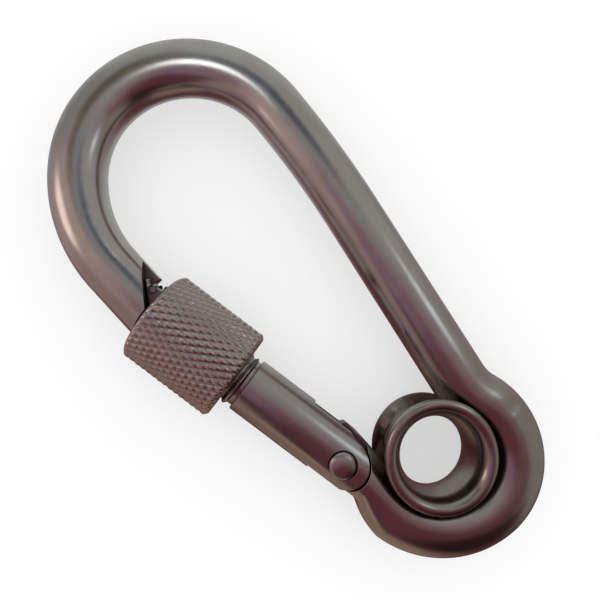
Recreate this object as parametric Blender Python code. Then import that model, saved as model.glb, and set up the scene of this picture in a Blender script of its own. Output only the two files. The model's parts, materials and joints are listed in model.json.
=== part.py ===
"""Screw-lock snap hook with a lined eye: one bent round rod, a sprung gate on a rivet, a knurled lock nut."""

import math

import bmesh
import bpy
from mathutils import Vector

# Driving dimensions, in metres. The hook lies flat: X runs from the eye to the bow, Y towards the gate.
# While it is built, the eye's centre is the origin. The root empty then moves the whole hook.
WIRE_R = 0.0040
WIRE_SIDES = 24
ROUND_SIDES = 48
GAP = 0.0003
SHARP = math.radians(35)

# The bent rod, from its hinge end to its nose. Each bend is (radius, degrees): plus turns left, minus right.
ROD_END = (0.0130, 0.0109)
END_LENGTH = 0.0121
EYE_BENDS = ((0.0117, 83.9), (0.0091, 115.0), (0.0086, -28.8))
SPINE_LENGTH = 0.0279
BOW_BENDS = ((0.1490, 7.3), (0.01575, 135.3), (0.0195, 47.8))
NOSE_LENGTH = 0.0107
# How wide the hinge end's outer side is, as (X, share of the rod's radius): it is rounded off to the tang.
END_TAPER = ((-0.0014, 1.0), (0.0006, 0.87), (0.0019, 0.78), (0.0038, 0.60), (0.0090, 0.85))

# Gate frame: distances along the gate's axis from its base, and across it towards the outside.
GATE_BASE = (0.00863, 0.01073)
GATE_ANGLE = math.radians(10.9)
PIVOT = (0.00025, 0.0006)
GATE_LENGTH = 0.0330
GATE_END_R = 0.0036
GATE_CORNER = (0.0045, -0.0045)
GATE_BLANK = (-0.0045, 0.0380)
SHOULDER_R = 0.0039
TANG_R = 0.0031
TANG_FLAT = 0.0022
TANG_HEEL = (0.0033, -0.0041)
TANG_HEEL_START = 0.0010
TANG_HEEL_BEVEL = 0.0005
TANG_HALF = 0.0014
# The body's shoulder is cut back from this angle about the pivot, so that the gate's inner corner can swing.
SWING_ANGLE = -124
SWING_EDGE = 0.0024
SLOT_HALF = 0.0017
SLOT_END = 0.0057
SLOT_SLANT = 0.55

RIVET_R = 0.00125
RIVET_HEAD_R = 0.00185
RIVET_SEAT = 0.0034
RIVET_EDGE = 0.0005
RIVET_CROWN = ((0.0043, 0.0014), (0.0046, 0.0006))
SEAT_R = 0.0020
FIT = 0.00006

THREAD_R = 0.00395
THREAD_START = 0.0174
RELIEF_R = 0.0035
RELIEF_WIDTH = 0.0005

NUT_START = 0.0187
NUT_END = 0.0330
NUT_R = 0.0068
NUT_CHAMFER = 0.0005
NUT_BORE_R = 0.00425
NUT_MOUTH_R = 0.0052
NUT_STEP = 0.0282
NUT_STEP_SLOPE = 0.0006
BORE_CHAMFER = 0.0003

NOSE_END_R = 0.03345
NOSE_END_ANGLE = 13
NOSE_END_BACK = 0.0270
NOSE_SHOULDER_A = (0.03366, -0.00014)
NOSE_SHOULDER_B = (0.0370, -0.0034)
LEDGE_NEAR = 0.0328
LEDGE_FAR = 0.0405
LEDGE_DEEP = -0.0090
TONGUE_HALF = 0.0010
FORK_HALF = 0.0012
FORK_FLAT = 0.0023
FORK_START = 0.0320
FORK_TIP = 0.0364
LATCH_PIN = (0.03485, -0.0027)
LATCH_PIN_R = 0.0005
NOTCH_R = 0.0007

BORE_R = 0.0018
BORE_START = 0.0020
BORE_END = 0.0172
PLUNGER_R = 0.0015
PLUNGER_TIP = 0.0025
PLUNGER_NOSE = ((0.0, 0.0008), (0.0004, 0.0013), (0.0009, 0.0015))
PLUNGER_BACK = 0.0100
SPRING_R = 0.00135
SPRING_WIRE_R = 0.00022
SPRING_COILS = 7

EYELET_CENTRE = (0.00075, 0.00090)
EYELET_HALF = 0.0052
EYELET_THROAT_R = 0.00495
EYELET_TUBE_R = 0.00565
EYELET_LIP_R = 0.0077
EYELET_LAND_IN = 0.0064
EYELET_LAND_OUT = 0.0071
# The eyelet's lip, from the rim out and back under to its tube: (radius, depth below the rim).
EYELET_LIP = (
    (EYELET_LAND_OUT, 0.0),
    (EYELET_LIP_R - 0.0002, 0.0002),
    (EYELET_LIP_R, 0.0006),
    (EYELET_LIP_R - 0.0002, 0.0010),
    (EYELET_TUBE_R + 0.0009, 0.0015),
    (EYELET_TUBE_R + 0.0003, 0.0022),
    (EYELET_TUBE_R, 0.0032),
)

# How far cutters and blanks reach past what they cut.
OVER = 0.0010
WIDE = 0.0080
PAST_END = -0.0070
PAST_TIP = 0.0420
PAST_HINGE = 0.0120
# Where the cutters' straight sides leave the arcs about the pivot, on the outer side of the gate.
OUTER_LEAD = -0.0012


def clear_scene():
    for obj in list(bpy.data.objects):
        bpy.data.objects.remove(obj, do_unlink=True)


def steel(name, colour, roughness):
    material = bpy.data.materials.new(name)
    material.use_nodes = True
    shader = material.node_tree.nodes["Principled BSDF"]
    shader.inputs["Base Color"].default_value = (*colour, 1)
    shader.inputs["Metallic"].default_value = 1
    shader.inputs["Roughness"].default_value = roughness
    material.diffuse_color = (*colour, 1)
    return material


def place(name, bm, origin, material=None):
    """Turns a bmesh in hook coordinates into an object whose origin is the given point."""
    bmesh.ops.recalc_face_normals(bm, faces=bm.faces)
    bmesh.ops.translate(bm, vec=-Vector(origin), verts=bm.verts)
    mesh = bpy.data.meshes.new(name)
    bm.to_mesh(mesh)
    bm.free()
    mesh.shade_smooth()
    mesh.set_sharp_from_angle(angle=SHARP)
    obj = bpy.data.objects.new(name, mesh)
    obj.location = origin
    obj.parent = root
    bpy.context.scene.collection.objects.link(obj)
    if material:
        mesh.materials.append(material)
    else:
        obj.hide_render = True
        obj.display_type = "WIRE"
    return obj


def skin(rings, joined=False):
    """A closed skin over equal rings of points: end to end if joined, or with a flat cap on each end."""
    bm = bmesh.new()
    rows = [[bm.verts.new(point) for point in ring] for ring in rings]
    pairs = list(zip(rows, rows[1:] + rows[:1])) if joined else list(zip(rows, rows[1:]))
    for row, following in pairs:
        for i in range(len(row)):
            j = (i + 1) % len(row)
            bm.faces.new((row[i], row[j], following[j], following[i]))
    if not joined:
        bm.faces.new(rows[0])
        bm.faces.new(rows[-1])
    return bm


def circle(centre, side, up, radius, sides):
    """Points of a circle about a centre, in the plane of two unit vectors."""
    turns = [2 * math.pi * i / sides for i in range(sides)]
    return [centre + radius * (math.cos(t) * side + math.sin(t) * up) for t in turns]


UP = Vector((0, 0, 1))
BASE = Vector((*GATE_BASE, 0))
ALONG = Vector((math.cos(GATE_ANGLE), math.sin(GATE_ANGLE), 0))
ACROSS = Vector((-math.sin(GATE_ANGLE), math.cos(GATE_ANGLE), 0))


def on_gate(along, across, z=0.0):
    """A point from its distances along the gate from its base and out to the side."""
    return BASE + along * ALONG + across * ACROSS + z * UP


HINGE = on_gate(*PIVOT)


def turned(stations, sides=ROUND_SIDES):
    """A solid turned about the gate's axis, from (distance along, radius) stations."""
    return skin([circle(on_gate(a, 0), ACROSS, UP, r, sides) for a, r in stations])


def turned_sleeve(outline, sides=ROUND_SIDES):
    """A sleeve about the gate's axis, from a closed outline of (distance, radius) corners."""
    rings = []
    for i in range(sides):
        t = 2 * math.pi * i / sides
        out = math.cos(t) * ACROSS + math.sin(t) * UP
        rings.append([on_gate(a, 0) + r * out for a, r in outline])
    return skin(rings, joined=True)


def upright(centre, stations, sides=ROUND_SIDES):
    """A solid turned about an upright axis, from (height, radius) stations."""
    side = Vector((1, 0, 0))
    back = Vector((0, 1, 0))
    return skin([circle(centre + z * UP, side, back, r, sides) for z, r in stations])


def arc(radius, start, end, steps):
    """(along, across) points about the pivot, at angles in degrees from the gate's axis."""
    angles = [math.radians(start + (end - start) * i / steps) for i in range(steps + 1)]
    return [(PIVOT[0] + radius * math.cos(t), PIVOT[1] + radius * math.sin(t)) for t in angles]


def block(pairs, low, high):
    """A straight block over an outline of (along, across) points."""
    return skin([[on_gate(a, b, z) for a, b in pairs] for z in (low, high)])


def boolean(target, operation, tool):
    modifier = target.modifiers.new(tool.name, "BOOLEAN")
    modifier.operation = operation
    modifier.solver = "EXACT"
    modifier.object = tool


def cut(target, *tools):
    for tool in tools:
        boolean(target, "DIFFERENCE", tool)


def bend(stations, radius, degrees, step=math.radians(6)):
    """Carries the rod on round one bend from its last (point, heading) station."""
    point, heading = stations[-1]
    turn = math.radians(degrees)
    side = math.copysign(radius, degrees)
    centre = point + side * Vector((-math.sin(heading), math.cos(heading), 0))
    count = max(2, math.ceil(abs(turn) / step))
    for i in range(1, count + 1):
        angle = heading + turn * i / count
        stations.append((centre - side * Vector((-math.sin(angle), math.cos(angle), 0)), angle))


def run_straight(stations, length, count=1):
    """Carries the rod straight on from its last station."""
    point, heading = stations[-1]
    direction = Vector((math.cos(heading), math.sin(heading), 0))
    for i in range(1, count + 1):
        stations.append((point + direction * length * i / count, heading))


def centreline():
    """(point, heading) stations of the rod, from the hinge round the eye, up the spine and round the bow."""
    stations = [(Vector((*ROD_END, 0)), math.pi)]
    run_straight(stations, END_LENGTH, 12)
    for radius, degrees in EYE_BENDS:
        bend(stations, radius, degrees)
    run_straight(stations, SPINE_LENGTH)
    for radius, degrees in BOW_BENDS:
        bend(stations, radius, degrees)
    run_straight(stations, NOSE_LENGTH)
    return stations


def taper(x):
    """Share of the rod's radius left on the outer side of the hinge end."""
    if x <= END_TAPER[0][0]:
        return 1.0
    for (x0, share0), (x1, share1) in zip(END_TAPER, END_TAPER[1:]):
        if x <= x1:
            return share0 + (share1 - share0) * (x - x0) / (x1 - x0)
    return END_TAPER[-1][1]


def rod_section(point, heading):
    """The rod's round section, narrowed on its outer side near the hinge."""
    inward = Vector((-math.sin(heading), math.cos(heading), 0))
    at_hinge = point.y > 0 and math.cos(heading) < 0 and point.x < ROD_END[0] + OVER
    narrow = taper(point.x) if at_hinge else 1.0
    ring = []
    for i in range(WIRE_SIDES):
        t = 2 * math.pi * i / WIRE_SIDES
        across = math.cos(t) * (narrow if math.cos(t) < 0 else 1.0)
        ring.append(point + WIRE_R * (across * inward + math.sin(t) * UP))
    return ring


def make_hook_body(material):
    rings = [rod_section(point, heading) for point, heading in centreline()]
    body = place("hook_body", skin(rings), (0, 0, 0), material)
    high = WIRE_R + OVER

    shoulder = (
        [(SWING_EDGE, -WIDE)]
        + arc(SHOULDER_R, SWING_ANGLE, -240, 18)
        + [(OUTER_LEAD, WIDE), (PAST_HINGE, WIDE), (PAST_HINGE, -WIDE)]
    )
    cut(body, place("cut_shoulder_top", block(shoulder, TANG_HALF, high), (0, 0, 0)))
    cut(body, place("cut_shoulder_bottom", block(shoulder, -high, -TANG_HALF), (0, 0, 0)))

    flat = math.degrees(math.acos((TANG_FLAT - PIVOT[0]) / TANG_R))
    heel_along, heel_across = TANG_HEEL
    cam = (
        [(PAST_HINGE, -WIDE), (TANG_HEEL_START, -WIDE), (TANG_HEEL_START, heel_across)]
        + [(heel_along - TANG_HEEL_BEVEL, heel_across), (heel_along, heel_across + TANG_HEEL_BEVEL)]
        + [(TANG_FLAT, PIVOT[1] - TANG_R * math.sin(math.radians(flat)))]
        + arc(TANG_R, flat, 100, 10)
        + [(OUTER_LEAD / 2, WIDE), (PAST_HINGE, WIDE)]
    )
    cut(body, place("cut_tang_cam", block(cam, -high, high), (0, 0, 0)))
    hole = upright(HINGE, [(-high, RIVET_R + FIT), (high, RIVET_R + FIT)])
    cut(body, place("cut_tang_hole", hole, (0, 0, 0)))

    end = arc(NOSE_END_R, -NOSE_END_ANGLE, NOSE_END_ANGLE, 16)
    end += [(NOSE_END_BACK, end[-1][1]), (NOSE_END_BACK, end[0][1])]
    cut(body, place("cut_nose_end", block(end, -high, high), (0, 0, 0)))
    ledge = [
        (LEDGE_NEAR, shoulder_line(LEDGE_NEAR)),
        (LEDGE_NEAR, LEDGE_DEEP),
        (LEDGE_FAR, LEDGE_DEEP),
        (LEDGE_FAR, shoulder_line(LEDGE_FAR)),
    ]
    cut(body, place("cut_ledge_top", block(ledge, TONGUE_HALF, high), (0, 0, 0)))
    cut(body, place("cut_ledge_bottom", block(ledge, -high, -TONGUE_HALF), (0, 0, 0)))

    # The notch follows the latch pin's path about the pivot, and ends in a half round.
    out, up = LATCH_PIN[0] - PIVOT[0], LATCH_PIN[1] - PIVOT[1]
    pin_far = math.hypot(out, up)
    pin_angle = math.degrees(math.atan2(up, out))
    bottom = [math.radians(pin_angle + 18 * i) for i in range(11)]
    notch = (
        arc(pin_far - NOTCH_R, -14, pin_angle, 6)[:-1]
        + [(LATCH_PIN[0] - NOTCH_R * math.cos(t), LATCH_PIN[1] + NOTCH_R * math.sin(t)) for t in bottom]
        + arc(pin_far + NOTCH_R, pin_angle, -14, 6)[1:]
    )
    cut(body, place("cut_notch", block(notch, -high, high), (0, 0, 0)))
    return body


def shoulder_line(along, gap=0.0):
    """Across value of the nose's slanted shoulder, or of a line that far inside it."""
    ax, ay = NOSE_SHOULDER_A
    bx, by = NOSE_SHOULDER_B
    slope = (by - ay) / (bx - ax)
    return ay + slope * (along - ax) - gap * math.hypot(1, slope)


def make_eyelet(material):
    """The eye's liner: its bore narrows from each rim to the throat in a quarter ellipse."""
    centre = Vector((*EYELET_CENTRE, 0))
    flare = EYELET_LAND_IN - EYELET_THROAT_R
    leans = [math.radians(15 * i) for i in range(7)]
    inner = [(EYELET_THROAT_R + flare * (1 - math.cos(t)), EYELET_HALF * math.sin(t)) for t in leans]
    half = inner + [(r, EYELET_HALF - depth) for r, depth in EYELET_LIP]
    section = half + [(r, -z) for r, z in reversed(half[1:])]
    rings = []
    for i in range(ROUND_SIDES):
        t = 2 * math.pi * i / ROUND_SIDES
        out = Vector((math.cos(t), math.sin(t), 0))
        rings.append([centre + r * out + z * UP for r, z in section])
    return place("eyelet", skin(rings, joined=True), centre, material)


def make_hinge_pin(material):
    seat = RIVET_SEAT + FIT
    dome = [(seat, RIVET_HEAD_R), (seat + RIVET_EDGE, RIVET_HEAD_R), *RIVET_CROWN]
    stations = [(-z, r) for z, r in reversed(dome)]
    stations += [(-seat, RIVET_R), (seat, RIVET_R)] + dome
    return place("hinge_pin", upright(HINGE, stations, 32), HINGE, material)


def make_gate(material):
    stations = [
        (GATE_BLANK[0], WIRE_R),
        (THREAD_START - RELIEF_WIDTH, WIRE_R),
        (THREAD_START - RELIEF_WIDTH, RELIEF_R),
        (THREAD_START, RELIEF_R),
        (THREAD_START, THREAD_R),
        (GATE_BLANK[1], THREAD_R),
    ]
    gate = place("gate", turned(stations), HINGE, material)
    high = WIRE_R + OVER

    end = (
        [GATE_CORNER]
        + arc(GATE_END_R, -92, -242, 20)
        + [(OUTER_LEAD, WIDE), (PAST_END, WIDE), (PAST_END, -WIDE), (GATE_CORNER[0], -WIDE)]
    )
    cut(gate, place("cut_gate_end", block(end, -high, high), HINGE))
    slant = SLOT_SLANT * WIDE
    slot = [(PAST_END, -WIDE), (SLOT_END + slant, -WIDE), (SLOT_END - slant, WIDE), (PAST_END, WIDE)]
    cut(gate, place("cut_gate_slot", block(slot, -SLOT_HALF, SLOT_HALF), HINGE))
    bore = turned([(BORE_START, BORE_R), (BORE_END, BORE_R)], 32)
    cut(gate, place("cut_gate_bore", bore, HINGE))
    hole = upright(HINGE, [(-high, RIVET_R + FIT), (high, RIVET_R + FIT)])
    cut(gate, place("cut_rivet_hole", hole, HINGE))
    top = upright(HINGE, [(RIVET_SEAT, SEAT_R), (high, SEAT_R)])
    bottom = upright(HINGE, [(-high, SEAT_R), (-RIVET_SEAT, SEAT_R)])
    cut(gate, place("cut_rivet_seat_top", top, HINGE))
    cut(gate, place("cut_rivet_seat_bottom", bottom, HINGE))

    tip = [
        (GATE_LENGTH, WIDE),
        (GATE_LENGTH, shoulder_line(GATE_LENGTH, GAP)),
        (FORK_TIP, shoulder_line(FORK_TIP, GAP)),
        (FORK_TIP, -WIDE),
        (PAST_TIP, -WIDE),
        (PAST_TIP, WIDE),
    ]
    cut(gate, place("cut_gate_tip", block(tip, -high, high), HINGE))
    fork = [(FORK_START, -WIDE), (PAST_TIP, -WIDE), (PAST_TIP, WIDE), (FORK_START, WIDE)]
    cut(gate, place("cut_fork_slot", block(fork, -FORK_HALF, FORK_HALF), HINGE))
    flat = [(GATE_LENGTH, -WIDE), (PAST_TIP, -WIDE), (PAST_TIP, WIDE), (GATE_LENGTH, WIDE)]
    cut(gate, place("cut_fork_top", block(flat, FORK_FLAT, high), HINGE))
    cut(gate, place("cut_fork_bottom", block(flat, -high, -FORK_FLAT), HINGE))
    pin_r = LATCH_PIN_R + FIT
    pin_hole = upright(on_gate(*LATCH_PIN), [(-high, pin_r), (high, pin_r)], 24)
    cut(gate, place("cut_latch_hole", pin_hole, HINGE))
    return gate


def make_latch_pin(material):
    stations = [(-FORK_FLAT, LATCH_PIN_R), (FORK_FLAT, LATCH_PIN_R)]
    centre = on_gate(*LATCH_PIN)
    return place("latch_pin", upright(centre, stations, 24), centre, material)


def make_lock_nut(material):
    sleeve = [
        (NUT_START, NUT_BORE_R + BORE_CHAMFER),
        (NUT_START, NUT_R - NUT_CHAMFER),
        (NUT_START + NUT_CHAMFER, NUT_R),
        (NUT_END - NUT_CHAMFER, NUT_R),
        (NUT_END, NUT_R - NUT_CHAMFER),
        (NUT_END, NUT_MOUTH_R),
        (NUT_STEP, NUT_MOUTH_R),
        (NUT_STEP - NUT_STEP_SLOPE, NUT_BORE_R),
        (NUT_START + BORE_CHAMFER, NUT_BORE_R),
    ]
    return place("lock_nut", turned_sleeve(sleeve, 64), on_gate(NUT_START, 0), material)


def make_plunger(material):
    stations = [(PLUNGER_TIP + a, r) for a, r in PLUNGER_NOSE] + [(PLUNGER_BACK, PLUNGER_R)]
    return place("spring_plunger", turned(stations, 32), on_gate(PLUNGER_TIP, 0), material)


def make_spring(material):
    start = PLUNGER_BACK + SPRING_WIRE_R + FIT
    end = BORE_END - SPRING_WIRE_R - FIT
    steps = SPRING_COILS * 16
    rings = []
    for i in range(steps + 1):
        t = 2 * math.pi * i * SPRING_COILS / steps
        out = math.cos(t) * ACROSS + math.sin(t) * UP
        centre = on_gate(start + (end - start) * i / steps, 0) + SPRING_R * out
        rings.append(circle(centre, out, ALONG, SPRING_WIRE_R, 8))
    return place("gate_spring", skin(rings), on_gate(BORE_END, 0), material)


def centre_on_floor(pieces):
    """Moves the root so that the hook stands on Z = 0 with its outline centred on the origin."""
    bpy.context.view_layer.update()
    graph = bpy.context.evaluated_depsgraph_get()
    corners = []
    for piece in pieces:
        evaluated = piece.evaluated_get(graph)
        corners += [evaluated.matrix_world @ v.co for v in evaluated.data.vertices]
    low = Vector([min(c[i] for c in corners) for i in range(3)])
    high = Vector([max(c[i] for c in corners) for i in range(3)])
    root.location = -Vector(((low.x + high.x) / 2, (low.y + high.y) / 2, low.z))


clear_scene()
root = bpy.data.objects.new("hook_root", None)
bpy.context.scene.collection.objects.link(root)
POLISHED = (0.62, 0.60, 0.58)
parts = [
    make_hook_body(steel("rod_steel", POLISHED, 0.18)),
    make_eyelet(steel("eyelet_steel", (0.55, 0.52, 0.50), 0.22)),
    make_hinge_pin(steel("rivet_steel", (0.60, 0.56, 0.54), 0.28)),
    make_gate(steel("gate_steel", (0.58, 0.56, 0.55), 0.20)),
    make_latch_pin(steel("latch_pin_steel", (0.66, 0.65, 0.64), 0.25)),
    make_lock_nut(steel("nut_steel", (0.54, 0.52, 0.50), 0.32)),
    make_plunger(steel("plunger_steel", (0.68, 0.67, 0.66), 0.30)),
    make_spring(steel("spring_steel", (0.45, 0.45, 0.46), 0.35)),
]
centre_on_floor(parts)
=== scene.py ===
import json
import math

import bpy
import numpy as np
from mathutils import Matrix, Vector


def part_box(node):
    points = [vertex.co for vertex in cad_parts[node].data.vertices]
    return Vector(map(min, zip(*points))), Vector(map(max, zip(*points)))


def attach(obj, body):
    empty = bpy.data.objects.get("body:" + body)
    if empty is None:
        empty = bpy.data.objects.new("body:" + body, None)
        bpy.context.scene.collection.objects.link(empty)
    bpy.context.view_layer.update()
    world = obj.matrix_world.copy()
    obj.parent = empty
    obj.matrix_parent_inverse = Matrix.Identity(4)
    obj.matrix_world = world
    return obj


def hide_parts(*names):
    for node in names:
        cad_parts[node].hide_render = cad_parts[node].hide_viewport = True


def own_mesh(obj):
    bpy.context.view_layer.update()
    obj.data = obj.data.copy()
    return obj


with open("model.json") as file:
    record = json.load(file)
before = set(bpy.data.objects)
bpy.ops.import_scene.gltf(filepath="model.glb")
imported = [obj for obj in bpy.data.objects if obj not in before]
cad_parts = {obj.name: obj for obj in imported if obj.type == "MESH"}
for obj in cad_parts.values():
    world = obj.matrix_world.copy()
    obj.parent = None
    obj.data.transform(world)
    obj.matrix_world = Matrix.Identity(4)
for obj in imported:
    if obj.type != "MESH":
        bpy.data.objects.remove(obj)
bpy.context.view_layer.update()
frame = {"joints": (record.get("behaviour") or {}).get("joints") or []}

joints = {joint["name"]: joint for joint in frame["joints"]}
body_low, body_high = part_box("hook_body")
eyelet_low, eyelet_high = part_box("eyelet")

# Axes and places that come from the frame. ALONG runs up the gate, ACROSS out to the side.
UP = np.array((0.0, 0.0, 1.0))
PIVOT = np.array(joints["gate_hinge"]["pos_m"])
ALONG = np.array(joints["lock_nut_slide"]["axis"])
ALONG = ALONG / np.linalg.norm(ALONG)
ACROSS = np.cross(UP, ALONG)
MID_Z = (body_low.z + body_high.z) / 2
WIRE_R = (body_high.z - body_low.z) / 2
EYELET = np.array((eyelet_low + eyelet_high) / 2)

# The bent rod, in metres, from its hinge end to its nose. A bend is (radius, degrees): plus turns left.
ROD_END = np.array((0.00424, -0.00047, 0))
END_LENGTH = 0.0121
EYE_BENDS = ((0.0117, 83.9), (0.0091, 115.0), (0.0086, -28.8))
SPINE_LENGTH = 0.0279
BOW_BENDS = ((0.1490, 7.3), (0.01575, 135.3), (0.0195, 47.8))
NOSE_LENGTH = 0.0107
# How wide the hinge end's outer side is, as (distance past the pivot, share of the rod's radius).
END_TAPER = ((-0.01016, 1.0), (-0.00816, 0.87), (-0.00686, 0.78), (-0.00496, 0.60), (0.00024, 0.85))
ROD_STEP = 0.00035
ROD_SIDES = 96

# Knocks in the ring beside the spine, as (place from the eye's middle, depth, radius). A depth below zero
# is a bump.
DENTS = (
    ((-0.0022, -0.0120, 0.0034), 0.00024, 0.0010),
    ((-0.0046, -0.0118, 0.0034), 0.00018, 0.0010),
    ((-0.0034, -0.0112, 0.0036), -0.00008, 0.0006),
)

# Gate frame: distances along the gate's axis from its base, and across it towards the outside.
PIVOT_PLACE = (0.00025, 0.0006)
BASE = PIVOT - PIVOT_PLACE[0] * ALONG - PIVOT_PLACE[1] * ACROSS

# Hinge end.
SHOULDER_R = 0.0039
SHOULDER_END_ANGLE = -240
TANG_R = 0.0031
TANG_END_ANGLE = 100
TANG_FLAT = 0.0022
TANG_HEEL = (0.0033, -0.0041)
TANG_HEEL_START = 0.0010
TANG_HEEL_BEVEL = 0.0005
TANG_HALF = 0.0014
# The body's shoulder is cut back from this angle about the pivot, so that the gate's inner corner has room.
SWING_ANGLE = -124
SWING_EDGE = 0.0024
RIVET_R = 0.00125
RIVET_HEAD_R = 0.00185
RIVET_SEAT = 0.0034
RIVET_TOP = 0.0046
RIVET_FOOT = 0.0001
RIVET_BAND = 0.0003
RIVET_ROOM = 0.00015
FIT = 0.00006

# Eye liner. Under its lip the outside narrows to the tube, as (wider than the tube, depth below the rim).
LINER_THROAT_R = 0.00495
LINER_CREST_R = 0.0069
LINER_TUBE_R = 0.00565
LINER_LIP_DROP = 0.0008
LINER_UNDER = ((0.0007, 0.0016), (0.0002, 0.0023), (0.0, 0.0034))

# Gate. It is cut from a round blank, whose plain part has rows at GATE_BLANK and whose thread runs on
# GATE_BLANK_PAST its length. THREAD_CREST sets how wide the thread's crest is, THREAD_FLANK how steep it is.
GATE_LENGTH = 0.0330
GATE_BLANK = (-0.0045, 0.0040, 0.0100)
GATE_BLANK_PAST = 0.0050
GATE_SIDES = 96
GATE_END_R = 0.0036
GATE_CORNER = (0.0045, -0.0045)
GATE_END_ANGLES = (-92, -242)
SLOT_HALF = 0.0017
SLOT_END = 0.0057
SLOT_SLANT = 0.55
BORE_R = 0.0018
BORE_START = 0.0020
BORE_END = 0.0172
SHANK_CHAMFER = 0.00012
THREAD_R = 0.00395
THREAD_DEPTH = 0.00042
THREAD_PITCH = 0.00125
THREAD_START = 0.0174
THREAD_ROWS = 14
THREAD_RUN_IN = 0.00025
THREAD_CREST = 1.35
THREAD_FLANK = 3.6
RELIEF_R = 0.0035
RELIEF_WIDTH = 0.0005

# Nose and latch.
NOSE_END_R = 0.03345
NOSE_END_ANGLE = 13
NOSE_END_BACK = 0.0270
SHOULDER_A = (0.03366, -0.00014)
SHOULDER_B = (0.0370, -0.0034)
LEDGE_NEAR = 0.0328
LEDGE_FAR = 0.0405
LEDGE_DEEP = -0.0090
TONGUE_HALF = 0.0010
FORK_HALF = 0.0012
FORK_FLAT = 0.0023
FORK_START = 0.0320
FORK_TIP = 0.0364
LATCH_PIN = (0.03485, -0.0027)
LATCH_PIN_R = 0.0005
LATCH_PIN_EDGE = 0.00008
NOTCH_R = 0.0007
NOTCH_START_ANGLE = -14
GAP = 0.0003

# Lock nut. Its knurl is two sets of grooves that cross; the second set is shallower by KNURL_SECOND.
NUT_START = 0.0187
NUT_END = 0.0330
NUT_R = 0.0068
NUT_CHAMFER = 0.0005
NUT_EDGE = 0.0001
NUT_EDGE_CURVE = 1.6
NUT_BORE_R = 0.00425
NUT_MOUTH_R = 0.0052
NUT_STEP = 0.0282
NUT_STEP_SLOPE = 0.0006
NUT_BORE_LEAD = 0.0003
NUT_MOUTH_LEAD = 0.0002
KNURL_STARTS = 40
KNURL_ANGLE = math.radians(30)
KNURL_DEPTH = 0.00026
KNURL_SECOND = 0.7
KNURL_SIDES = 12
KNURL_ROW = 0.00016
KNURL_FLANK = 0.40
KNURL_FADE = 0.7

# Plunger and spring. The plunger's nose is rounded, as (distance from its tip, radius).
PLUNGER_R = 0.0015
PLUNGER_TIP = 0.0025
PLUNGER_BACK = 0.0100
PLUNGER_NOSE = ((0.0, 0.0008), (0.00012, 0.00105), (0.0004, 0.0013))
PLUNGER_SHOULDER = 0.0009
PLUNGER_EDGE = 0.0001
SPRING_R = 0.00135
SPRING_WIRE_R = 0.00022
SPRING_COILS = 7

# The steel's materials: how far round a point they look for the recesses that get painted shade, the scales
# of their tarnish, gloss and scratches, and the scratches' depth.
RECESS_REACH = 0.0016
TARNISH_SCALE = 260
GLOSS_SCALE = 900
SCRATCH_SCALE = 4200
SCRATCH_DEPTH = 0.00002

# How far cutters reach past what they cut.
OVER = 0.0010
WIDE = 0.0080
PAST_END = -0.0070
PAST_TIP = 0.0420
PAST_HINGE = 0.0120
OUTER_LEAD = -0.0012


# ---------------------------------------------------------------- mesh helpers


def mesh_object(name, points, faces):
    mesh = bpy.data.meshes.new(name)
    mesh.from_pydata([tuple(p) for p in points], [], faces)
    mesh.update()
    obj = bpy.data.objects.new(name, mesh)
    bpy.context.scene.collection.objects.link(obj)
    return obj


def skin(name, rows, joined=False):
    """A closed skin over rows of points, each row a closed loop: row to row, then joined up or capped."""
    rows = np.asarray(rows, float)
    count, size = rows.shape[:2]
    starts = range(count if joined else count - 1)
    faces = []
    for i in starts:
        a = i * size
        b = ((i + 1) % count) * size
        faces += [(a + j, a + (j + 1) % size, b + (j + 1) % size, b + j) for j in range(size)]
    if not joined:
        faces.append(tuple(reversed(range(size))))
        faces.append(tuple(range((count - 1) * size, count * size)))
    obj = mesh_object(name, rows.reshape(-1, 3), faces)
    point_out(obj)
    return obj


def point_out(obj):
    """Turns the faces round if the mesh is inside out."""
    mesh = obj.data
    mesh.calc_loop_triangles()
    corners = np.array([[mesh.vertices[i].co for i in t.vertices] for t in mesh.loop_triangles])
    if np.linalg.det(corners).sum() < 0:
        mesh.flip_normals()


def loops(centres, sides, ups, radii, count):
    """Rows of circles: one centre, pair of directions and radius (or row of radii) for each row."""
    turns = np.linspace(0, 2 * math.pi, count, endpoint=False)
    radii = np.asarray(radii, float)
    radii = radii if radii.ndim == 2 else radii[:, None]
    out = np.cos(turns)[None, :, None] * sides[:, None] + np.sin(turns)[None, :, None] * ups[:, None]
    return centres[:, None] + radii[:, :, None] * out


def on_gate(along, across=0.0, z=0.0):
    """A point from its distances along the gate from its base and out to the side."""
    return BASE + along * ALONG + across * ACROSS + z * UP


def turned(name, stations, count=96):
    """A solid turned about the gate's axis, from (distance from the hinge, radius) stations."""
    stations = np.asarray(stations, float)
    centres = BASE + stations[:, :1] * ALONG
    same = np.ones((len(stations), 1))
    return skin(name, loops(centres, same * ACROSS, same * UP, stations[:, 1], count))


def upright(name, centre, stations, count=64):
    """A solid turned about an upright axis, from (height, radius) stations."""
    stations = np.asarray(stations, float)
    centres = centre + stations[:, :1] * UP
    same = np.ones((len(stations), 1))
    x, y = np.array((1.0, 0, 0)), np.array((0, 1.0, 0))
    return skin(name, loops(centres, same * x, same * y, stations[:, 1], count))


def prism(name, pairs, low, high):
    """A straight block over an outline of (along, across) pairs, in the hook's plane."""
    return skin(name, [[on_gate(a, b, z) for a, b in pairs] for z in (low, high)])


def arc(radius, start, end, steps):
    """(along, across) pairs about the pivot, at angles in degrees from the gate's axis."""
    angles = np.radians(np.linspace(start, end, steps + 1))
    along, across = PIVOT_PLACE
    return [(along + radius * math.cos(t), across + radius * math.sin(t)) for t in angles]


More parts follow.
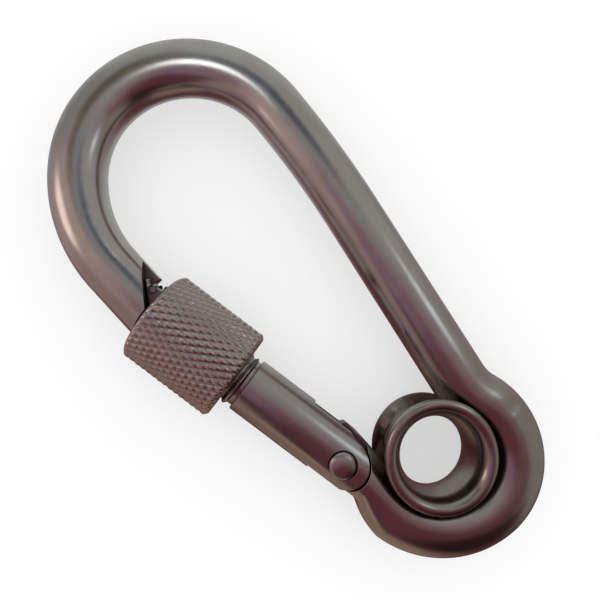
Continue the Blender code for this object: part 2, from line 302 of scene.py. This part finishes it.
def cut(target, *tools):
    """Cuts each tool from the target and removes the tools. The cut faces get the machined finish: rougher
    steel, with a dark colour that is painted shade.
    """
    target.data.materials.append(None)
    for tool in tools:
        tool.data.materials.append(machined_and_shaded)
        modifier = target.modifiers.new(tool.name, "BOOLEAN")
        modifier.operation = "DIFFERENCE"
        modifier.solver = "EXACT"
        modifier.material_mode = "TRANSFER"
        modifier.object = tool
    bpy.context.view_layer.update()
    graph = bpy.context.evaluated_depsgraph_get()
    mesh = bpy.data.meshes.new_from_object(target.evaluated_get(graph))
    target.modifiers.clear()
    target.data = mesh
    for tool in tools:
        bpy.data.objects.remove(tool, do_unlink=True)


def smooth(obj, sharp_degrees=32):
    obj.data.shade_smooth()
    obj.data.set_sharp_from_angle(angle=math.radians(sharp_degrees))
    return obj


def finish_piece(obj, body, node, material):
    """Gives a piece its material, puts it on its body and lets it stand for its CAD node."""
    if obj.data.materials:
        obj.data.materials[0] = material
    else:
        obj.data.materials.append(material)
    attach(obj, body)
    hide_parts(node)


# ---------------------------------------------------------------- the bent rod


def centreline(step):
    """Points and headings along the rod, from the hinge round the eye, up the spine and round the bow."""
    curvature = [(0.0, END_LENGTH)]
    for bends, length in ((EYE_BENDS, SPINE_LENGTH), (BOW_BENDS, NOSE_LENGTH)):
        for radius, degrees in bends:
            curvature.append((math.copysign(1 / radius, degrees), radius * abs(math.radians(degrees))))
        curvature.append((0.0, length))
    point, heading = PIVOT + ROD_END, math.pi
    points, headings = [point], [heading]
    for bend, length in curvature:
        count = max(2, math.ceil(length / step))
        for _ in range(count):
            middle = heading + bend * length / count / 2
            chord = length / count
            if bend:
                chord = 2 / bend * math.sin(bend * length / count / 2)
            point = point + chord * np.array((math.cos(middle), math.sin(middle), 0))
            heading += bend * length / count
            points.append(point)
            headings.append(heading)
    return np.array(points), np.array(headings)


def rod_piece():
    points, headings = centreline(ROD_STEP)
    inward = np.stack((-np.sin(headings), np.cos(headings), np.zeros_like(headings)), 1)
    past = points[:, 0] - PIVOT[0]
    narrow = np.interp(past, *np.array(END_TAPER).T)
    at_hinge = (points[:, 1] > EYELET[1]) & (np.cos(headings) < 0) & (past < ROD_END[0] + OVER)
    narrow = np.where(at_hinge, narrow, 1.0)
    turns = np.linspace(0, 2 * math.pi, ROD_SIDES, endpoint=False)
    across = np.cos(turns)[None] * np.where(np.cos(turns)[None] < 0, narrow[:, None], 1.0)
    rows = points[:, None] + WIRE_R * across[..., None] * inward[:, None]
    rows = rows + WIRE_R * np.sin(turns)[None, :, None] * UP
    for place, depth, radius in DENTS:
        spot = EYELET + np.array(place)
        near = np.exp(-np.sum((rows - spot) ** 2, axis=2) / radius**2)
        rows = rows - depth * near[..., None] * (rows - points[:, None]) / WIRE_R
    rod = skin("hook_rod", rows)
    high = WIRE_R + OVER
    shoulder = (
        [(SWING_EDGE, -WIDE)]
        + arc(SHOULDER_R, SWING_ANGLE, SHOULDER_END_ANGLE, 48)
        + [(OUTER_LEAD, WIDE), (PAST_HINGE, WIDE), (PAST_HINGE, -WIDE)]
    )
    flat = math.degrees(math.acos((TANG_FLAT - PIVOT_PLACE[0]) / TANG_R))
    heel_along, heel_across = TANG_HEEL
    cam = (
        [(PAST_HINGE, -WIDE), (TANG_HEEL_START, -WIDE), (TANG_HEEL_START, heel_across)]
        + [(heel_along - TANG_HEEL_BEVEL, heel_across), (heel_along, heel_across + TANG_HEEL_BEVEL)]
        + [(TANG_FLAT, PIVOT_PLACE[1] - TANG_R * math.sin(math.radians(flat)))]
        + arc(TANG_R, flat, TANG_END_ANGLE, 20)
        + [(OUTER_LEAD / 2, WIDE), (PAST_HINGE, WIDE)]
    )
    end = arc(NOSE_END_R, -NOSE_END_ANGLE, NOSE_END_ANGLE, 24)
    end += [(NOSE_END_BACK, end[-1][1]), (NOSE_END_BACK, end[0][1])]
    ledge = [
        (LEDGE_NEAR, shoulder_line(LEDGE_NEAR)),
        (LEDGE_NEAR, LEDGE_DEEP),
        (LEDGE_FAR, LEDGE_DEEP),
        (LEDGE_FAR, shoulder_line(LEDGE_FAR)),
    ]
    out, up = LATCH_PIN[0] - PIVOT_PLACE[0], LATCH_PIN[1] - PIVOT_PLACE[1]
    pin_far = math.hypot(out, up)
    pin_angle = math.degrees(math.atan2(up, out))
    bottom = np.radians(np.linspace(pin_angle, pin_angle + 180, 17))
    notch = (
        arc(pin_far - NOTCH_R, NOTCH_START_ANGLE, pin_angle, 8)[:-1]
        + [(LATCH_PIN[0] - NOTCH_R * math.cos(t), LATCH_PIN[1] + NOTCH_R * math.sin(t)) for t in bottom]
        + arc(pin_far + NOTCH_R, pin_angle, NOTCH_START_ANGLE, 8)[1:]
    )
    cut(
        rod,
        prism("shoulder_top", shoulder, TANG_HALF, high),
        prism("shoulder_bottom", shoulder, -high, -TANG_HALF),
        prism("tang_cam", cam, -high, high),
        upright("tang_hole", PIVOT, [(-high, RIVET_R + FIT), (high, RIVET_R + FIT)]),
        prism("nose_end", end, -high, high),
        prism("ledge_top", ledge, TONGUE_HALF, high),
        prism("ledge_bottom", ledge, -high, -TONGUE_HALF),
        prism("notch", notch, -high, high),
    )
    return smooth(rod)


def shoulder_line(along, gap=0.0):
    """Across value of the nose's slanted shoulder, or of a line that far inside it."""
    ax, ay = SHOULDER_A
    bx, by = SHOULDER_B
    slope = (by - ay) / (bx - ax)
    return ay + slope * (along - ax) - gap * math.hypot(1, slope)


# ---------------------------------------------------------------- eye liner


def eyelet_piece():
    """The eye's liner: its bore narrows from each rolled rim to the throat in a quarter ellipse."""
    half_height = (eyelet_high.z - eyelet_low.z) / 2
    lip_r = (eyelet_high.x - eyelet_low.x) / 2
    flare = LINER_CREST_R - LINER_THROAT_R
    leans = np.radians(np.linspace(4, 86, 22))
    bore = np.stack((LINER_THROAT_R + flare * (1 - np.cos(leans)), half_height * np.sin(leans)), 1)
    rim_low = half_height - LINER_LIP_DROP
    leans = np.radians(np.linspace(90, -30, 13))
    lip_out = lip_r - LINER_CREST_R
    lip = np.stack((LINER_CREST_R + lip_out * np.cos(leans), rim_low + LINER_LIP_DROP * np.sin(leans)), 1)
    under = [(LINER_TUBE_R + wider, half_height - below) for wider, below in LINER_UNDER]
    upper = np.concatenate(([(LINER_THROAT_R, 0.0)], bore, lip, under))
    lower = upper[:0:-1] * (1, -1)
    outline = np.concatenate((upper, lower))
    turns = np.linspace(0, 2 * math.pi, 160, endpoint=False)
    out = np.stack((np.cos(turns), np.sin(turns), np.zeros_like(turns)), 1)
    rows = EYELET + outline[None, :, :1] * out[:, None] + outline[None, :, 1:] * UP
    return smooth(skin("eye_liner", rows, joined=True), 50)


# ---------------------------------------------------------------- gate and its small parts


def gate_piece():
    plain = [(along, WIRE_R) for along in GATE_BLANK]
    shank_end = THREAD_START - RELIEF_WIDTH
    plain += [(shank_end - SHANK_CHAMFER, WIRE_R), (shank_end, WIRE_R - SHANK_CHAMFER)]
    plain += [(shank_end, RELIEF_R)]
    thread = np.arange(THREAD_START, GATE_LENGTH + GATE_BLANK_PAST, THREAD_PITCH / THREAD_ROWS)
    distances = np.array([a for a, _ in plain] + list(thread))
    turns = np.arange(GATE_SIDES) / GATE_SIDES
    radii = np.array([[r] * GATE_SIDES for _, r in plain])
    phase = (thread[:, None] / THREAD_PITCH + turns[None]) % 1
    ridge = np.clip(THREAD_CREST - np.abs(phase - 0.5) * THREAD_FLANK, 0, 1)
    start = np.clip((thread - THREAD_START) / THREAD_RUN_IN, 0, 1)[:, None]
    cut_thread = THREAD_R - THREAD_DEPTH * (1 - ridge)
    radii = np.concatenate((radii, RELIEF_R + (cut_thread - RELIEF_R) * start))
    centres = BASE + distances[:, None] * ALONG
    same = np.ones((len(distances), 1))
    gate = skin("gate_bar", loops(centres, same * ACROSS, same * UP, radii, GATE_SIDES))

    high = WIRE_R + OVER
    end = (
        [GATE_CORNER]
        + arc(GATE_END_R, *GATE_END_ANGLES, 40)
        + [(OUTER_LEAD, WIDE), (PAST_END, WIDE), (PAST_END, -WIDE), (GATE_CORNER[0], -WIDE)]
    )
    slant = SLOT_SLANT * WIDE
    slot = [(PAST_END, -WIDE), (SLOT_END + slant, -WIDE), (SLOT_END - slant, WIDE), (PAST_END, WIDE)]
    seat_r = RIVET_HEAD_R + RIVET_ROOM
    pin_hole_r = LATCH_PIN_R + FIT
    tip = [
        (GATE_LENGTH, WIDE),
        (GATE_LENGTH, shoulder_line(GATE_LENGTH, GAP)),
        (FORK_TIP, shoulder_line(FORK_TIP, GAP)),
        (FORK_TIP, -WIDE),
        (PAST_TIP, -WIDE),
        (PAST_TIP, WIDE),
    ]
    fork = [(FORK_START, -WIDE), (PAST_TIP, -WIDE), (PAST_TIP, WIDE), (FORK_START, WIDE)]
    flat = [(GATE_LENGTH, -WIDE), (PAST_TIP, -WIDE), (PAST_TIP, WIDE), (GATE_LENGTH, WIDE)]
    cut(
        gate,
        prism("gate_end", end, -high, high),
        prism("gate_slot", slot, -SLOT_HALF, SLOT_HALF),
        turned("gate_bore", [(BORE_START, BORE_R), (BORE_END, BORE_R)], 48),
        upright("rivet_hole", PIVOT, [(-high, RIVET_R + FIT), (high, RIVET_R + FIT)]),
        upright("rivet_seat_top", PIVOT, [(RIVET_SEAT, seat_r), (high, seat_r)]),
        upright("rivet_seat_bottom", PIVOT, [(-high, seat_r), (-RIVET_SEAT, seat_r)]),
        prism("gate_tip", tip, -high, high),
        prism("fork_slot", fork, -FORK_HALF, FORK_HALF),
        prism("fork_top", flat, FORK_FLAT, high),
        prism("fork_bottom", flat, -high, -FORK_FLAT),
        upright("latch_hole", on_gate(*LATCH_PIN), [(-high, pin_hole_r), (high, pin_hole_r)], 32),
    )
    return smooth(gate)


def rivet_piece():
    seat = RIVET_SEAT + FIT
    rise = RIVET_TOP - seat - RIVET_BAND
    dome = [(seat, RIVET_HEAD_R - RIVET_FOOT), (seat + RIVET_FOOT, RIVET_HEAD_R)]
    dome += [(seat + RIVET_BAND, RIVET_HEAD_R)]
    for t in np.radians(np.linspace(12, 86, 12)):
        dome.append((seat + RIVET_BAND + rise * math.sin(t), RIVET_HEAD_R * math.cos(t)))
    stations = [(-z, r) for z, r in reversed(dome)]
    stations += [(-seat, RIVET_R), (seat, RIVET_R)] + dome
    return smooth(upright("rivet", PIVOT, stations, 72), 40)


def latch_pin_piece():
    stations = [
        (-FORK_FLAT, LATCH_PIN_R - LATCH_PIN_EDGE),
        (LATCH_PIN_EDGE - FORK_FLAT, LATCH_PIN_R),
        (FORK_FLAT - LATCH_PIN_EDGE, LATCH_PIN_R),
        (FORK_FLAT, LATCH_PIN_R - LATCH_PIN_EDGE),
    ]
    return smooth(upright("cross_pin", on_gate(*LATCH_PIN), stations, 40))


def plunger_piece():
    stations = [(PLUNGER_TIP + back, radius) for back, radius in PLUNGER_NOSE]
    stations += [
        (PLUNGER_TIP + PLUNGER_SHOULDER, PLUNGER_R),
        (PLUNGER_BACK - PLUNGER_EDGE, PLUNGER_R),
        (PLUNGER_BACK, PLUNGER_R - PLUNGER_EDGE),
    ]
    return smooth(turned("plunger_pin", stations, 64), 25)


def spring_piece():
    start = PLUNGER_BACK + SPRING_WIRE_R + FIT
    end = BORE_END - SPRING_WIRE_R - FIT
    steps = SPRING_COILS * 32
    turns = np.linspace(0, 2 * math.pi * SPRING_COILS, steps + 1)
    out = np.cos(turns)[:, None] * ACROSS + np.sin(turns)[:, None] * UP
    centres = BASE + np.linspace(start, end, steps + 1)[:, None] * ALONG + SPRING_R * out
    same = np.ones((steps + 1, 1))
    wire = loops(centres, out, same * ALONG, np.full(steps + 1, SPRING_WIRE_R), 14)
    return smooth(skin("coil_spring", wire), 60)


def groove(place):
    """Depth share of a V groove on each whole number, with a narrow flat crest between grooves."""
    off_centre = np.abs(place % 1 - 0.5)
    return np.clip(1 - (0.5 - off_centre) / KNURL_FLANK, 0, 1)


def nut_edge(shares):
    """The nut's rounded outer edge, as (distance in from its end, radius) at shares of its width."""
    return [(NUT_CHAMFER * s, NUT_R - NUT_CHAMFER * (1 - s) ** NUT_EDGE_CURVE) for s in shares]


def nut_piece():
    count = KNURL_STARTS * KNURL_SIDES
    crest = np.arange(NUT_START + NUT_CHAMFER, NUT_END - NUT_CHAMFER, KNURL_ROW)
    face_r, rise_r = NUT_R - NUT_CHAMFER - NUT_EDGE, NUT_R - NUT_CHAMFER + NUT_EDGE
    outer = [(NUT_START, face_r), (NUT_START + NUT_EDGE, rise_r)]
    outer += [(NUT_START + inset, radius) for inset, radius in nut_edge(np.linspace(0.2, 0.95, 7))]
    front = [(NUT_END - inset, radius) for inset, radius in nut_edge(np.linspace(0.95, 0.2, 7))]
    front += [(NUT_END - NUT_EDGE, rise_r), (NUT_END, face_r)]
    inner = [
        (NUT_END, NUT_MOUTH_R + NUT_MOUTH_LEAD),
        (NUT_END - NUT_MOUTH_LEAD, NUT_MOUTH_R),
        (NUT_STEP, NUT_MOUTH_R),
        (NUT_STEP - NUT_STEP_SLOPE, NUT_BORE_R),
        (NUT_START + NUT_BORE_LEAD, NUT_BORE_R),
        (NUT_START, NUT_BORE_R + NUT_BORE_LEAD),
    ]
    outline = np.array(outer + [(a, NUT_R) for a in crest] + front + inner)
    turns = np.linspace(0, 2 * math.pi, count, endpoint=False)
    distance, radius = outline[:, :1], outline[:, 1:]
    twist = distance * math.tan(KNURL_ANGLE) / NUT_R
    lines = KNURL_STARTS / (2 * math.pi)
    depth = np.maximum(groove(lines * (turns + twist)), KNURL_SECOND * groove(lines * (turns - twist)))
    knurled = np.clip((radius - (NUT_R - NUT_CHAMFER)) / (KNURL_FADE * NUT_CHAMFER), 0, 1)
    radii = radius - KNURL_DEPTH * depth * knurled
    centres = BASE + distance * ALONG
    same = np.ones((len(outline), 1))
    nut = skin("knurled_nut", loops(centres, same * ACROSS, same * UP, radii, count), joined=True)
    return smooth(nut, 60)


# ---------------------------------------------------------------- materials


class Nodes:
    """Short calls for building a material's nodes."""

    def __init__(self, tree):
        self.tree = tree

    def feed(self, socket, value):
        if isinstance(value, bpy.types.NodeSocket):
            self.tree.links.new(value, socket)
        else:
            socket.default_value = value

    def vector(self, operation, a, b=(0, 0, 0), output="Vector"):
        node = self.tree.nodes.new("ShaderNodeVectorMath")
        node.operation = operation
        self.feed(node.inputs[0], a)
        self.feed(node.inputs[1], b)
        return node.outputs[output]

    def ramp(self, value, low, high, to_low=0.0, to_high=1.0, eased=False):
        node = self.tree.nodes.new("ShaderNodeMapRange")
        node.interpolation_type = "SMOOTHSTEP" if eased else "LINEAR"
        self.feed(node.inputs["Value"], value)
        for name, number in zip(("From Min", "From Max", "To Min", "To Max"), (low, high, to_low, to_high)):
            self.feed(node.inputs[name], number)
        return node.outputs["Result"]

    def mix(self, factor, a, b):
        node = self.tree.nodes.new("ShaderNodeMix")
        node.data_type = "RGBA"
        self.feed(node.inputs["Factor"], factor)
        self.feed(node.inputs[6], a)
        self.feed(node.inputs[7], b)
        return node.outputs[2]

    def noise(self, place, scale, detail, output="Fac"):
        node = self.tree.nodes.new("ShaderNodeTexNoise")
        self.feed(node.inputs["Vector"], place)
        node.inputs["Scale"].default_value = scale
        node.inputs["Detail"].default_value = detail
        return node.outputs[output]


def steel(
    name, colour, roughness, scratch=0.25, bevel=0.00012, painted_shade=0.6, reach=RECESS_REACH, open_sky=0.85
):
    """Polished stainless steel: faint tarnish, uneven gloss, fine scratches, soft edges, painted shade in
    recesses.

    The painted shade takes up to the given share of a recess's colour. A point counts as fully open, with no
    painted shade, once it sees open_sky of its surroundings, out to reach.
    """
    material = bpy.data.materials.new(name)
    material.use_nodes = True
    tree = material.node_tree
    nodes = Nodes(tree)
    shader = tree.nodes["Principled BSDF"]
    shader.inputs["Metallic"].default_value = 1
    place = tree.nodes.new("ShaderNodeTexCoord").outputs["Object"]

    clean = (*colour, 1)
    tarnished = (colour[0] * 0.93, colour[1] * 0.88, colour[2] * 0.86, 1)
    tint = nodes.mix(nodes.ramp(nodes.noise(place, TARNISH_SCALE, 5), 0.40, 0.70), clean, tarnished)
    # Painted shade: a point that sees little of its surroundings, out to reach, is darkened towards a dark
    # copy of the steel's colour.
    corner = tree.nodes.new("ShaderNodeAmbientOcclusion")
    corner.samples = 8
    corner.inputs["Distance"].default_value = reach
    open_share = nodes.ramp(corner.outputs["AO"], open_sky - 0.6, open_sky, 1 - painted_shade, 1.0)
    shade_colour = (colour[0] * 0.16, colour[1] * 0.11, colour[2] * 0.10, 1)
    nodes.feed(shader.inputs["Base Color"], nodes.mix(open_share, shade_colour, tint))

    gloss = nodes.ramp(nodes.noise(place, GLOSS_SCALE, 6), 0.3, 0.7, roughness * 0.85, roughness * 1.2)
    nodes.feed(shader.inputs["Roughness"], gloss)

    edge = tree.nodes.new("ShaderNodeBevel")
    edge.samples = 6
    edge.inputs["Radius"].default_value = bevel
    bump = tree.nodes.new("ShaderNodeBump")
    bump.inputs["Strength"].default_value = scratch
    bump.inputs["Distance"].default_value = SCRATCH_DEPTH
    nodes.feed(bump.inputs["Height"], nodes.noise(place, SCRATCH_SCALE, 3))
    nodes.feed(bump.inputs["Normal"], edge.outputs["Normal"])
    nodes.feed(shader.inputs["Normal"], bump.outputs["Normal"])
    return material


# ---------------------------------------------------------------- build


# Cut faces: rougher machined steel, and a dark colour that is painted shade for the recessed slots and
# ledges.
machined_and_shaded = steel("machined_and_shaded_finish", (0.26, 0.23, 0.22), 0.42, scratch=0.5, painted_shade=0.85)
rod_finish = steel("rod_finish", (0.62, 0.60, 0.58), 0.2)
# The liner's tube is darkened deep inside by strong painted shade.
liner_finish = steel("liner_finish", (0.60, 0.56, 0.53), 0.2, painted_shade=0.97, reach=0.008, open_sky=1.1)
rivet_finish = steel("rivet_finish", (0.60, 0.56, 0.54), 0.28)
gate_finish = steel("gate_finish", (0.58, 0.56, 0.55), 0.2)
pin_finish = steel("pin_finish", (0.34, 0.32, 0.31), 0.38)
# The knurl's grooves are darkened by painted shade.
nut_finish = steel(
    "nut_finish",
    (0.66, 0.60, 0.57),
    0.2,
    scratch=0.35,
    bevel=0.00002,
    painted_shade=0.9,
    reach=0.0005,
    open_sky=0.95,
)
plunger_finish = steel("plunger_finish", (0.68, 0.67, 0.66), 0.3)
spring_finish = steel("spring_finish", (0.45, 0.45, 0.46), 0.35)

finish_piece(rod_piece(), "hook", "hook_body", rod_finish)
finish_piece(eyelet_piece(), "hook", "eyelet", liner_finish)
finish_piece(rivet_piece(), "hook", "hinge_pin", rivet_finish)
finish_piece(gate_piece(), "gate", "gate", gate_finish)
finish_piece(latch_pin_piece(), "gate", "latch_pin", pin_finish)
finish_piece(nut_piece(), "lock_nut", "lock_nut", nut_finish)
finish_piece(plunger_piece(), "plunger", "spring_plunger", plunger_finish)
spring = spring_piece()
finish_piece(spring, "gate", "gate_spring", spring_finish)
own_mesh(spring)


# ---------------------------------------------------------------- floor, light and camera


# The camera looks straight down at the middle of the hook, leaning a little, from close by.
CAMERA_AIM = EYELET + np.array((0.0282, -0.00044, 0))
CAMERA_DISTANCE = 0.0754
CAMERA_LEAN = math.radians(5.25)
CAMERA_LEAN_TOWARDS = math.radians(101.6)
CAMERA_ROLL = math.radians(-131.95)
CAMERA_LENS = 31.85

back = np.array(
    (
        math.sin(CAMERA_LEAN) * math.cos(CAMERA_LEAN_TOWARDS),
        math.sin(CAMERA_LEAN) * math.sin(CAMERA_LEAN_TOWARDS),
        math.cos(CAMERA_LEAN),
    )
)
right = np.array((math.cos(CAMERA_ROLL), math.sin(CAMERA_ROLL), 0))
right = right - (right @ back) * back
right = right / np.linalg.norm(right)
above = np.cross(back, right)
camera_place = CAMERA_AIM + CAMERA_DISTANCE * back

camera_data = bpy.data.cameras.new("camera")
camera = bpy.data.objects.new("camera", camera_data)
bpy.context.scene.collection.objects.link(camera)
camera_data.sensor_width = 36
camera_data.lens = CAMERA_LENS
camera_data.clip_start = 0.005
rows = [[right[i], above[i], back[i], camera_place[i]] for i in range(3)]
camera.matrix_world = Matrix(rows + [[0, 0, 0, 1]])
bpy.context.scene.camera = camera
bpy.context.scene.view_settings.view_transform = "Standard"

floor = mesh_object("floor", [(-2, -2, 0), (2, -2, 0), (2, 2, 0), (-2, 2, 0)], [(0, 1, 2, 3)])
floor_material = bpy.data.materials.new("floor_finish")
floor_material.use_nodes = True
floor_shader = floor_material.node_tree.nodes["Principled BSDF"]
floor_shader.inputs["Base Color"].default_value = (0.5, 0.5, 0.5, 1)
floor_shader.inputs["Roughness"].default_value = 0.9
floor_shader.inputs["Emission Color"].default_value = (1.0, 1.0, 1.0, 1)
floor_shader.inputs["Emission Strength"].default_value = 0.52
floor.data.materials.append(floor_material)
floor.visible_glossy = False

world = bpy.data.worlds.new("studio")
bpy.context.scene.world = world
world.use_nodes = True
world.node_tree.nodes["Background"].inputs["Color"].default_value = (1.0, 1.0, 1.0, 1)
world.node_tree.nodes["Background"].inputs["Strength"].default_value = 1.0

# What the steel reflects: a small room round the hook that only mirror-like surfaces see. Its shades run
# from the picture's bottom (0) to its top (1), and a ripple keeps its edges from being straight. Each patch
# is (lean from the camera's direction, turn from the picture's right, full size, faded size, colour), with
# the angles in degrees.
ROOM_R = 0.10
RIPPLE_SCALE = 3.5
RIPPLE_SIZE = 0.22
CARD_SIDES = 48
ROOM_SHADES = (
    (0.00, (0.085, 0.040, 0.038)),
    (0.25, (0.100, 0.045, 0.045)),
    (0.42, (0.200, 0.110, 0.120)),
    (0.50, (0.270, 0.190, 0.225)),
    (0.65, (0.310, 0.285, 0.295)),
    (0.85, (0.260, 0.270, 0.275)),
    (1.00, (0.420, 0.440, 0.430)),
)
ROOM_PATCHES = (
    (75, 190, 15, 48, (0.42, 0.32, 0.30)),
    (85, 350, 15, 42, (0.25, 0.22, 0.20)),
    (105, 265, 15, 38, (0.28, 0.19, 0.15)),
    (80, 215, 12, 36, (0.30, 0.21, 0.19)),
    (68, 48, 15, 42, (0.36, 0.35, 0.34)),
    (45, 155, 5, 24, (0.48, 0.38, 0.34)),
    (67, 168, 2, 14, (1.45, 1.16, 1.05)),
    (42, 85, 5, 17, (0.09, 0.11, 0.14)),
    (50, 125, 4, 16, (0.14, 0.12, 0.10)),
    (55, 20, 2, 11, (0.85, 0.92, 0.96)),
    (22, 215, 6, 24, (0.25, 0.15, 0.21)),
    (42, 285, 8, 34, (0.13, 0.040, 0.055)),
    (72, 302, 8, 26, (0.030, 0.012, 0.014)),
    (80, 245, 3, 12, (0.36, 0.25, 0.20)),
    (135, 105, 25, 60, (0.45, 0.46, 0.46)),
)


def picture_direction(lean, turn):
    """A direction from its lean off the camera's direction and its turn round it, in degrees."""
    lean, turn = math.radians(lean), math.radians(turn)
    return math.cos(lean) * back + math.sin(lean) * (math.cos(turn) * right + math.sin(turn) * above)


def glow_card(name, along_right, along_above, height, radius, colour):
    """A small round lamp close over the hook, faded towards its edge. Its place is right of, above and
    nearer the camera than the point that the camera aims at."""
    centre = CAMERA_AIM + along_right * right + along_above * above + height * back
    turns = np.linspace(0, 2 * math.pi, CARD_SIDES, endpoint=False)
    rim = [centre + radius * (math.cos(t) * right + math.sin(t) * above) for t in turns]
    card = mesh_object(name, rim, [tuple(range(CARD_SIDES))])
    material = bpy.data.materials.new(name + "_light")
    material.use_nodes = True
    material.cycles.emission_sampling = "NONE"
    tree = material.node_tree
    tree.nodes.clear()
    nodes = Nodes(tree)
    point = tree.nodes.new("ShaderNodeNewGeometry").outputs["Position"]
    off = nodes.vector("LENGTH", nodes.vector("SUBTRACT", point, tuple(centre)), output="Value")
    lamp = tree.nodes.new("ShaderNodeEmission")
    lamp.inputs["Color"].default_value = (*colour, 1)
    clear = tree.nodes.new("ShaderNodeBsdfTransparent")
    blend = tree.nodes.new("ShaderNodeMixShader")
    nodes.feed(blend.inputs[0], nodes.ramp(off, radius, 0.25 * radius, eased=True))
    nodes.feed(blend.inputs[1], clear.outputs[0])
    nodes.feed(blend.inputs[2], lamp.outputs[0])
    surface = tree.nodes.new("ShaderNodeOutputMaterial")
    nodes.feed(surface.inputs["Surface"], blend.outputs[0])
    card.data.materials.append(material)
    mirror_only(card)


def mirror_only(piece):
    """Hides a piece from all but mirror-like surfaces."""
    piece.visible_camera = False
    piece.visible_diffuse = False
    piece.visible_transmission = False
    piece.visible_volume_scatter = False
    piece.visible_shadow = False


def room_piece():
    """A ball round the hook that glows in the patches above."""
    centre = np.array((0, 0, MID_Z))
    heights = np.linspace(-math.pi / 2, math.pi / 2, 34)[1:-1]
    stations = [(ROOM_R * math.sin(t), ROOM_R * math.cos(t)) for t in heights]
    room = upright("room", centre, stations, 64)
    room.data.shade_smooth()
    material = bpy.data.materials.new("room_light")
    material.use_nodes = True
    material.cycles.emission_sampling = "NONE"
    tree = material.node_tree
    tree.nodes.clear()
    nodes = Nodes(tree)
    point = tree.nodes.new("ShaderNodeNewGeometry").outputs["Position"]
    out = nodes.vector("NORMALIZE", nodes.vector("SUBTRACT", point, tuple(centre)))
    ripple = nodes.vector("SUBTRACT", nodes.noise(out, RIPPLE_SCALE, 2, "Color"), (0.5, 0.5, 0.5))
    ripple = nodes.vector("MULTIPLY", ripple, (RIPPLE_SIZE, RIPPLE_SIZE, RIPPLE_SIZE))
    out = nodes.vector("NORMALIZE", nodes.vector("ADD", out, ripple))
    shades = tree.nodes.new("ShaderNodeValToRGB")
    shades.color_ramp.interpolation = "EASE"
    ends = shades.color_ramp.elements
    while len(ends) < len(ROOM_SHADES):
        ends.new(0.5)
    for end, (position, colour) in zip(ends, ROOM_SHADES):
        end.position = position
        end.color = (*colour, 1)
    rise = nodes.vector("DOT_PRODUCT", out, tuple(above), output="Value")
    nodes.feed(shades.inputs["Fac"], nodes.ramp(rise, -1.0, 1.0))
    glow = shades.outputs["Color"]
    for lean, turn, full, faded, colour in ROOM_PATCHES:
        near = nodes.vector("DOT_PRODUCT", out, tuple(picture_direction(lean, turn)), output="Value")
        low, high = math.cos(math.radians(faded)), math.cos(math.radians(full))
        glow = nodes.mix(nodes.ramp(near, low, high, eased=True), glow, (*colour, 1))
    emission = tree.nodes.new("ShaderNodeEmission")
    nodes.feed(emission.inputs["Color"], glow)
    surface = tree.nodes.new("ShaderNodeOutputMaterial")
    nodes.feed(surface.inputs["Surface"], emission.outputs["Emission"])
    room.data.materials.append(material)
    mirror_only(room)


room_piece()
glow_card("bow_lamp", -0.0161, 0.0350, 0.024, 0.0058, (2.3, 2.4, 2.45))
